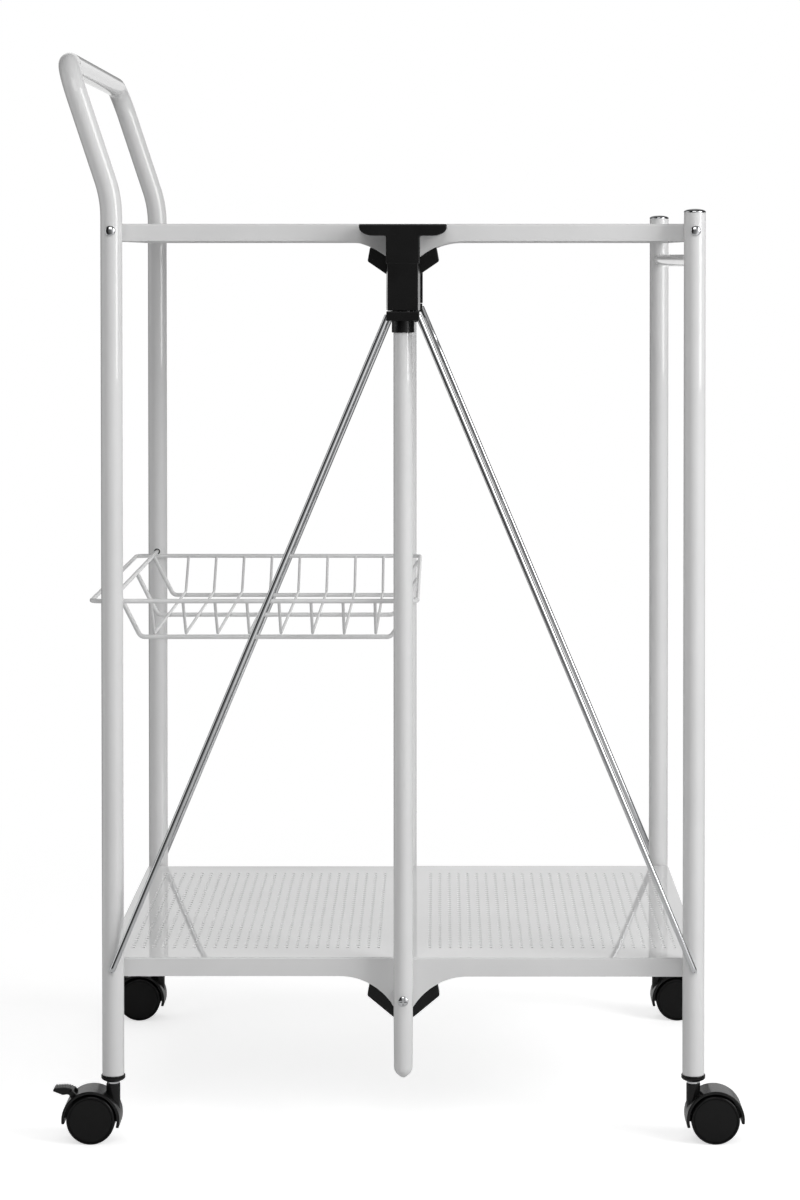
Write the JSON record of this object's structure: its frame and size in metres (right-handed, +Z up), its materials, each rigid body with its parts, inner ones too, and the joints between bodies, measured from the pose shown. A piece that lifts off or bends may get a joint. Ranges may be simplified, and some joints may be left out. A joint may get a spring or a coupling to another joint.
{
  "type": "folding kitchen trolley",
  "caption": "Folding serving trolley: white tube frame with push handle, perforated split shelves on centre hinges, wire basket, chrome rods, black hinge heads and twin-wheel casters.",
  "frame": {"origin": "on the floor, midway between the four legs, under the middle of the trolley", "axes": "+Z up, +X along the length away from the push handle, -Y the front side"},
  "size_m": [0.5697, 0.4458, 0.899],
  "materials": {
    "white_powder_coat": "gloss",
    "white_coated_wire": "gloss",
    "chrome_steel": "polished",
    "black_plastic": "satin",
    "black_wheel_plastic": "satin"
  },
  "bodies": {
    "left_frame": {"handle_frame": "white_powder_coat", "left_foot_plugs": "black_plastic", "left_top_rivets": "chrome_steel", "left_spacers": "black_plastic"},
    "right_frame": {"right_leg_front": "white_powder_coat", "right_leg_back": "white_powder_coat", "cross_rail": "white_powder_coat", "right_leg_caps": "chrome_steel", "right_foot_plugs": "black_plastic", "right_top_rivets": "chrome_steel", "right_spacers": "black_plastic"},
    "centre_posts": {"post_front": "white_powder_coat", "post_back": "white_powder_coat", "post_tips": "white_powder_coat", "head_front": "black_plastic", "head_back": "black_plastic", "hinge_bracket_top_front": "black_plastic", "hinge_bracket_top_back": "black_plastic", "hinge_bracket_bottom_front": "black_plastic", "hinge_bracket_bottom_back": "black_plastic", "hinge_screws": "chrome_steel", "hinge_pins": "chrome_steel"},
    "basket": {"basket_rim": "white_coated_wire", "basket_pivot_wires": "white_coated_wire", "basket_long_wires": "white_coated_wire", "basket_cross_wires": "white_coated_wire"},
    "top_left_panel": {"top_left_panel": "white_powder_coat"},
    "top_right_panel": {"top_right_panel": "white_powder_coat"},
    "bottom_left_panel": {"bottom_left_panel": "white_powder_coat"},
    "bottom_right_panel": {"bottom_right_panel": "white_powder_coat"},
    "collar_front": {"collar_front": "black_plastic"},
    "rod_left_front": {"rod_left_front": "chrome_steel"},
    "rod_right_front": {"rod_right_front": "chrome_steel"},
    "collar_back": {"collar_back": "black_plastic"},
    "rod_left_back": {"rod_left_back": "chrome_steel"},
    "rod_right_back": {"rod_right_back": "chrome_steel"},
    "caster_left_front": {"caster_left_front_stem": "chrome_steel", "caster_left_front_housing": "black_plastic", "caster_left_front_axle": "chrome_steel"},
    "caster_left_front_wheel_front": {"caster_left_front_wheel_front": "black_wheel_plastic"},
    "caster_left_front_wheel_back": {"caster_left_front_wheel_back": "black_wheel_plastic"},
    "brake_pedal_front": {"brake_pedal_front": "black_plastic"},
    "caster_left_back": {"caster_left_back_stem": "chrome_steel", "caster_left_back_housing": "black_plastic", "caster_left_back_axle": "chrome_steel"},
    "caster_left_back_wheel_front": {"caster_left_back_wheel_front": "black_wheel_plastic"},
    "caster_left_back_wheel_back": {"caster_left_back_wheel_back": "black_wheel_plastic"},
    "brake_pedal_back": {"brake_pedal_back": "black_plastic"},
    "caster_right_front": {"caster_right_front_stem": "chrome_steel", "caster_right_front_housing": "black_plastic", "caster_right_front_axle": "chrome_steel"},
    "caster_right_front_wheel_front": {"caster_right_front_wheel_front": "black_wheel_plastic"},
    "caster_right_front_wheel_back": {"caster_right_front_wheel_back": "black_wheel_plastic"},
    "caster_right_back": {"caster_right_back_stem": "chrome_steel", "caster_right_back_housing": "black_plastic", "caster_right_back_axle": "chrome_steel"},
    "caster_right_back_wheel_front": {"caster_right_back_wheel_front": "black_wheel_plastic"},
    "caster_right_back_wheel_back": {"caster_right_back_wheel_back": "black_wheel_plastic"}
  },
  "joints": [
    {"name": "fold", "type": "hinge", "parent": "left_frame", "child": "top_left_panel", "pos_m": [-0.2395, 0, 0.751], "axis": [0, -1, 0], "range_deg": [0, 84]},
    {"name": "fold_bottom_left", "type": "hinge", "parent": "left_frame", "child": "bottom_left_panel", "pos_m": [-0.2395, 0, 0.1425], "axis": [0, -1, 0], "range_deg": [0, 84]},
    {"name": "fold_basket", "type": "hinge", "parent": "left_frame", "child": "basket", "pos_m": [-0.2395, 0, 0.4487], "axis": [0, -1, 0], "range_deg": [0, 84]},
    {"name": "fold_posts", "type": "hinge", "parent": "top_left_panel", "child": "centre_posts", "pos_m": [0, 0, 0.7234], "axis": [0, -1, 0], "range_deg": [-84, 0]},
    {"name": "fold_top_right", "type": "hinge", "parent": "centre_posts", "child": "top_right_panel", "pos_m": [0, 0, 0.7234], "axis": [0, -1, 0], "range_deg": [-84, 0]},
    {"name": "fold_bottom_right", "type": "hinge", "parent": "centre_posts", "child": "bottom_right_panel", "pos_m": [0, 0, 0.1149], "axis": [0, -1, 0], "range_deg": [-84, 0]},
    {"name": "fold_right_frame", "type": "hinge", "parent": "top_right_panel", "child": "right_frame", "pos_m": [0.2395, 0, 0.751], "axis": [0, -1, 0], "range_deg": [0, 84]},
    {"name": "fold_collar_front", "type": "slide", "parent": "centre_posts", "child": "collar_front", "axis": [0, 0, 1], "range_m": [-0.21846, 0]},
    {"name": "fold_rod_left_front", "type": "hinge", "parent": "left_frame", "child": "rod_left_front", "pos_m": [-0.2395, -0.205, 0.1425], "axis": [0, -1, 0], "range_deg": [0, 18.9]},
    {"name": "fold_rod_right_front", "type": "hinge", "parent": "right_frame", "child": "rod_right_front", "pos_m": [0.2395, -0.205, 0.1425], "axis": [0, -1, 0], "range_deg": [-18.9, 0]},
    {"name": "fold_collar_back", "type": "slide", "parent": "centre_posts", "child": "collar_back", "axis": [0, 0, 1], "range_m": [-0.21846, 0]},
    {"name": "fold_rod_left_back", "type": "hinge", "parent": "left_frame", "child": "rod_left_back", "pos_m": [-0.2395, 0.205, 0.1425], "axis": [0, -1, 0], "range_deg": [0, 18.9]},
    {"name": "fold_rod_right_back", "type": "hinge", "parent": "right_frame", "child": "rod_right_back", "pos_m": [0.2395, 0.205, 0.1425], "axis": [0, -1, 0], "range_deg": [-18.9, 0]},
    {"name": "swivel_left_front", "type": "hinge", "parent": "left_frame", "child": "caster_left_front", "pos_m": [-0.2395, -0.205, 0], "axis": [0, 0, 1], "continuous": true},
    {"name": "wheel_left_front_front", "type": "hinge", "parent": "caster_left_front", "child": "caster_left_front_wheel_front", "pos_m": [-0.257, -0.205, 0.02], "axis": [0, 1, 0], "continuous": true},
    {"name": "wheel_left_front_back", "type": "hinge", "parent": "caster_left_front", "child": "caster_left_front_wheel_back", "pos_m": [-0.257, -0.205, 0.02], "axis": [0, 1, 0], "continuous": true},
    {"name": "brake_front", "type": "hinge", "parent": "caster_left_front", "child": "brake_pedal_front", "pos_m": [-0.27307, -0.205, 0.04057], "axis": [0, -1, 0], "range_deg": [0, 12]},
    {"name": "swivel_left_back", "type": "hinge", "parent": "left_frame", "child": "caster_left_back", "pos_m": [-0.2395, 0.205, 0], "axis": [0, 0, 1], "continuous": true},
    {"name": "wheel_left_back_front", "type": "hinge", "parent": "caster_left_back", "child": "caster_left_back_wheel_front", "pos_m": [-0.257, 0.205, 0.02], "axis": [0, 1, 0], "continuous": true},
    {"name": "wheel_left_back_back", "type": "hinge", "parent": "caster_left_back", "child": "caster_left_back_wheel_back", "pos_m": [-0.257, 0.205, 0.02], "axis": [0, 1, 0], "continuous": true},
    {"name": "brake_back", "type": "hinge", "parent": "caster_left_back", "child": "brake_pedal_back", "pos_m": [-0.27307, 0.205, 0.04057], "axis": [0, -1, 0], "range_deg": [0, 12]},
    {"name": "swivel_right_front", "type": "hinge", "parent": "right_frame", "child": "caster_right_front", "pos_m": [0.2395, -0.205, 0], "axis": [0, 0, 1], "continuous": true},
    {"name": "wheel_right_front_front", "type": "hinge", "parent": "caster_right_front", "child": "caster_right_front_wheel_front", "pos_m": [0.257, -0.205, 0.02], "axis": [0, 1, 0], "continuous": true},
    {"name": "wheel_right_front_back", "type": "hinge", "parent": "caster_right_front", "child": "caster_right_front_wheel_back", "pos_m": [0.257, -0.205, 0.02], "axis": [0, 1, 0], "continuous": true},
    {"name": "swivel_right_back", "type": "hinge", "parent": "right_frame", "child": "caster_right_back", "pos_m": [0.2395, 0.205, 0], "axis": [0, 0, 1], "continuous": true},
    {"name": "wheel_right_back_front", "type": "hinge", "parent": "caster_right_back", "child": "caster_right_back_wheel_front", "pos_m": [0.257, 0.205, 0.02], "axis": [0, 1, 0], "continuous": true},
    {"name": "wheel_right_back_back", "type": "hinge", "parent": "caster_right_back", "child": "caster_right_back_wheel_back", "pos_m": [0.257, 0.205, 0.02], "axis": [0, 1, 0], "continuous": true}
  ],
  "couplings": [
    {"joint": "fold_bottom_left", "follows": "fold", "ratio": 1},
    {"joint": "fold_basket", "follows": "fold", "ratio": 1},
    {"joint": "fold_posts", "follows": "fold", "ratio": -1},
    {"joint": "fold_top_right", "follows": "fold", "ratio": -1},
    {"joint": "fold_bottom_right", "follows": "fold", "ratio": -1},
    {"joint": "fold_right_frame", "follows": "fold", "ratio": 1},
    {"joint": "fold_collar_front", "follows": "fold", "m_per_rad": -0.14901},
    {"joint": "fold_rod_left_front", "follows": "fold", "ratio": 0.22503},
    {"joint": "fold_rod_right_front", "follows": "fold", "ratio": -0.22503},
    {"joint": "fold_collar_back", "follows": "fold", "m_per_rad": -0.14901},
    {"joint": "fold_rod_left_back", "follows": "fold", "ratio": 0.22503},
    {"joint": "fold_rod_right_back", "follows": "fold", "ratio": -0.22503}
  ]
}
